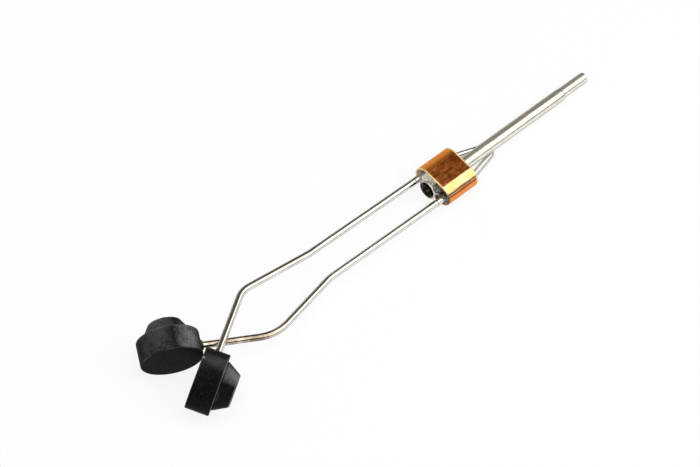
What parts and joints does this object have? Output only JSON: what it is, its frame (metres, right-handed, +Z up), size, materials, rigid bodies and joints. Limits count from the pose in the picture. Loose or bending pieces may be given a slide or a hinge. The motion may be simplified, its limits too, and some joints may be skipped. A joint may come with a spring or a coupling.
{
  "type": "fly tying bobbin holder",
  "caption": "Fly tying bobbin holder: stepped thread tube and a spring wire hairpin soldered in an oval copper ferrule, a black cone-nosed spool cup on each crossed wire end.",
  "frame": {"origin": "centre of the bounding box at table level, with the tool lying as it rests on its two cups and one edge of its ferrule", "axes": "+X along the tool toward the thread tube's tip, which dips 2.8 degrees, +Y toward the lower arm's cup, +Z up from the table; the tool is rolled 10 degrees about +X as it rests"},
  "size_m": [0.1124, 0.0225, 0.0126],
  "materials": {
    "tube_steel": "polished",
    "wire_steel": "polished",
    "copper": "polished copper",
    "solder": "bumpy bright solder",
    "cup_plastic": "fine grained matt black"
  },
  "bodies": {
    "holder": {"thread_tube": "tube_steel", "tube_sleeve": "tube_steel", "ferrule": "copper", "solder_fill": "solder", "wire_loop": "wire_steel"},
    "upper_wire_arm": {"upper_arm": "wire_steel", "upper_cup": "cup_plastic"},
    "lower_wire_arm": {"lower_arm": "wire_steel", "lower_cup": "cup_plastic"}
  },
  "joints": [
    {"name": "upper_arm_flex", "type": "hinge", "parent": "holder", "child": "upper_wire_arm", "pos_m": [0.01167, 0.00351, 0.00389], "axis": [0.0085, 0.9848, 0.1734], "range_deg": [0, 13], "stiffness_Nm_per_rad": 1.1},
    {"name": "lower_arm_flex", "type": "hinge", "parent": "holder", "child": "lower_wire_arm", "pos_m": [0.01162, -0.00263, 0.00281], "axis": [-0.0085, -0.9848, -0.1734], "range_deg": [0, 13], "stiffness_Nm_per_rad": 1.1}
  ]
}
